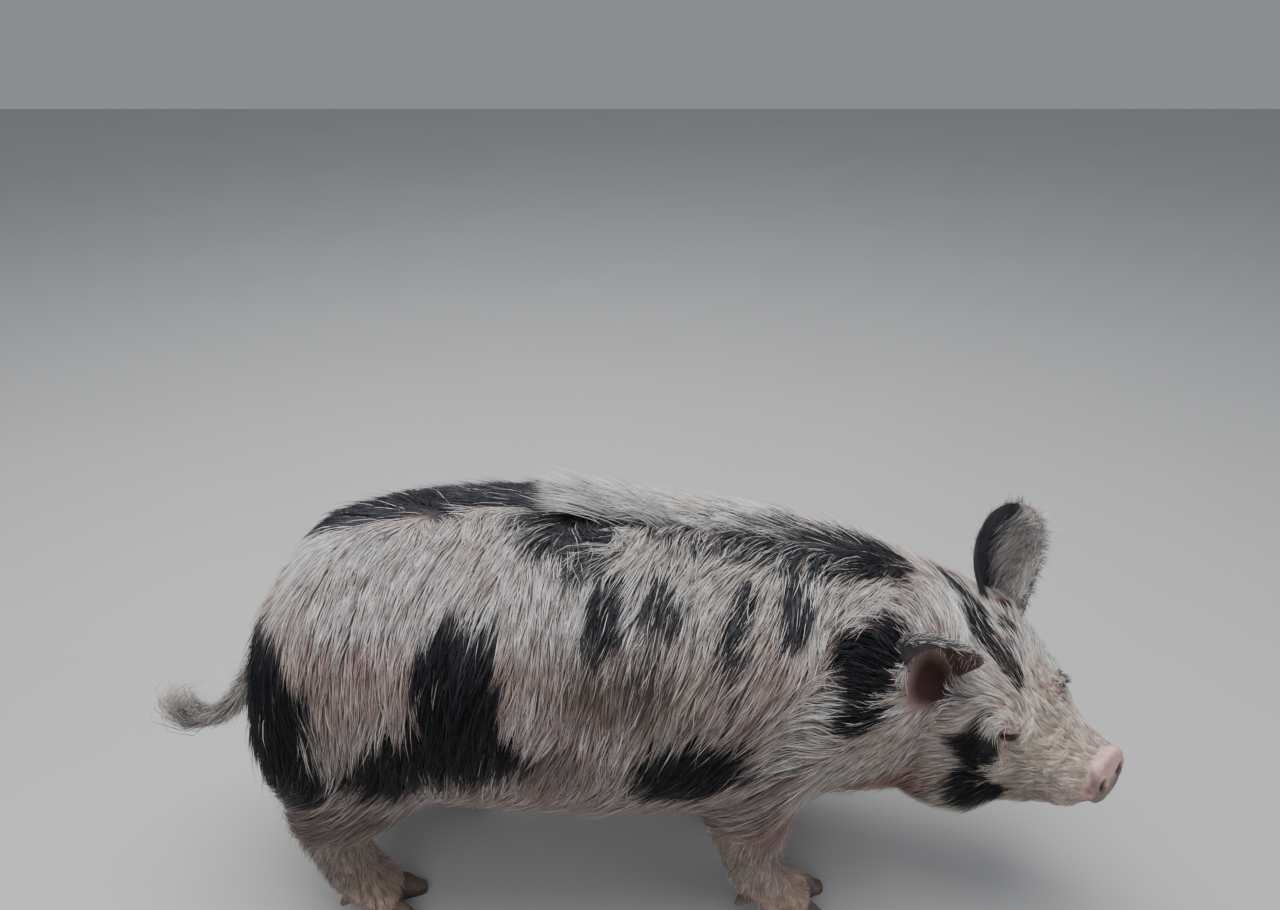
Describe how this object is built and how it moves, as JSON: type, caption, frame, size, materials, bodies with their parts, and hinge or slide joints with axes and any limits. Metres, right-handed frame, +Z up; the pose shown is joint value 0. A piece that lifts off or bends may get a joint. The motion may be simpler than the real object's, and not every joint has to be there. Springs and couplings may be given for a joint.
{
  "type": "miniature pig",
  "caption": "Still, life-size miniature pig, a spotted sow with a long bristly coat, walking with her head low and turned to the right.",
  "frame": {"origin": "on the floor under the middle of the whole animal's footprint, snout and tail included", "axes": "+X forward along the trunk, +Y to the animal's left, +Z up"},
  "size_m": [1.139, 0.4033, 0.5513],
  "materials": {
    "hide": "pink hide under a cream, black and grey bristly coat",
    "ear_skin": "thin bare skin, red-brown inside",
    "eye": "wet, dark brown",
    "horn": "worn horn with dried mud"
  },
  "bodies": {
    "root": {"head": "hide", "neck": "hide", "torso": "hide", "tail": "hide", "ear_right": "ear_skin", "ear_left": "ear_skin", "eye_right": "eye", "eye_left": "eye", "leg_front_right": "hide", "leg_front_left": "hide", "leg_hind_right": "hide", "leg_hind_left": "hide", "claw_front_right_inner": "horn", "claw_front_right_outer": "horn", "claw_front_left_inner": "horn", "claw_front_left_outer": "horn", "claw_hind_right_inner": "horn", "claw_hind_right_outer": "horn", "claw_hind_left_inner": "horn", "claw_hind_left_outer": "horn", "dewclaw_front_right_inner": "horn", "dewclaw_front_right_outer": "horn", "dewclaw_front_left_inner": "horn", "dewclaw_front_left_outer": "horn", "dewclaw_hind_right_inner": "horn", "dewclaw_hind_right_outer": "horn", "dewclaw_hind_left_inner": "horn", "dewclaw_hind_left_outer": "horn"}
  },
  "joints": []
}
